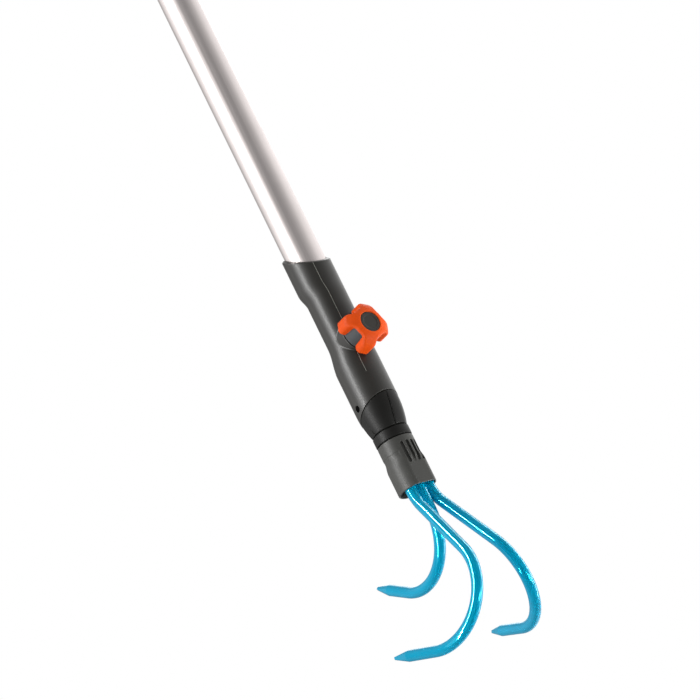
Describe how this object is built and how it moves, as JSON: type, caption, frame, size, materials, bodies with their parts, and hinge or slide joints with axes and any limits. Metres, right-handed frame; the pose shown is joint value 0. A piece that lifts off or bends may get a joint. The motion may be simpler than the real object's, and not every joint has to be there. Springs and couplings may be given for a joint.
{
  "type": "hand cultivator",
  "caption": "Garden hand cultivator: hooked tines on a plug-in tool head, held by a knob-screw coupling on a round aluminium handle.",
  "frame": {"origin": "on the handle's axis where the bare tube enters the coupling", "axes": "+X along the handle towards the tines, +Z towards the clamp knob, with the tine points towards -Z; the object is symmetric about the XZ plane apart from the knob's turn"},
  "size_m": [1.0889, 0.0897, 0.1249],
  "materials": {
    "tube_aluminium": "satin anodised, drawn lengthwise",
    "end_plastic": "fine matt moulded",
    "inner_plastic": "moulded",
    "coupling_plastic": "satin gloss moulded",
    "neck_plastic": "satin moulded",
    "pin_plastic": "matt",
    "zinc_steel": "zinc plated",
    "knob_grey": "satin moulded",
    "knob_orange": "satin moulded",
    "socket_plastic": "satin moulded",
    "tine_enamel": "gloss turquoise coating"
  },
  "bodies": {
    "handle": {"handle_tube": "tube_aluminium", "end_cap": "end_plastic", "tube_plug": "inner_plastic", "coupling_shell": "coupling_plastic", "neck_insert": "neck_plastic", "snap_pins": "pin_plastic", "captive_nut": "zinc_steel"},
    "clamp": {"clamp_pad": "inner_plastic"},
    "knob": {"clamp_screw": "zinc_steel", "knob_hub": "knob_grey", "knob_body": "knob_orange", "knob_cap": "knob_grey"},
    "tool_head": {"tool_peg": "inner_plastic", "collar_ring": "neck_plastic", "tool_socket": "socket_plastic", "anchor_plate": "zinc_steel", "tine_core": "pin_plastic", "tine_left": "tine_enamel", "tine_right": "tine_enamel", "tine_middle": "tine_enamel"}
  },
  "joints": [
    {"name": "clamp_travel", "type": "slide", "parent": "handle", "child": "clamp", "axis": [0, 0, 1], "range_m": [0, 0.0025]},
    {"name": "knob_turn", "type": "hinge", "parent": "clamp", "child": "knob", "pos_m": [0.072, 0, 0], "axis": [0, 0, 1], "range_deg": [0, 720]},
    {"name": "head_pull_out", "type": "slide", "parent": "handle", "child": "tool_head", "axis": [1, 0, 0], "range_m": [0, 0.1]}
  ],
  "couplings": [
    {"joint": "clamp_travel", "follows": "knob_turn", "m_per_rad": 0.00019894}
  ]
}
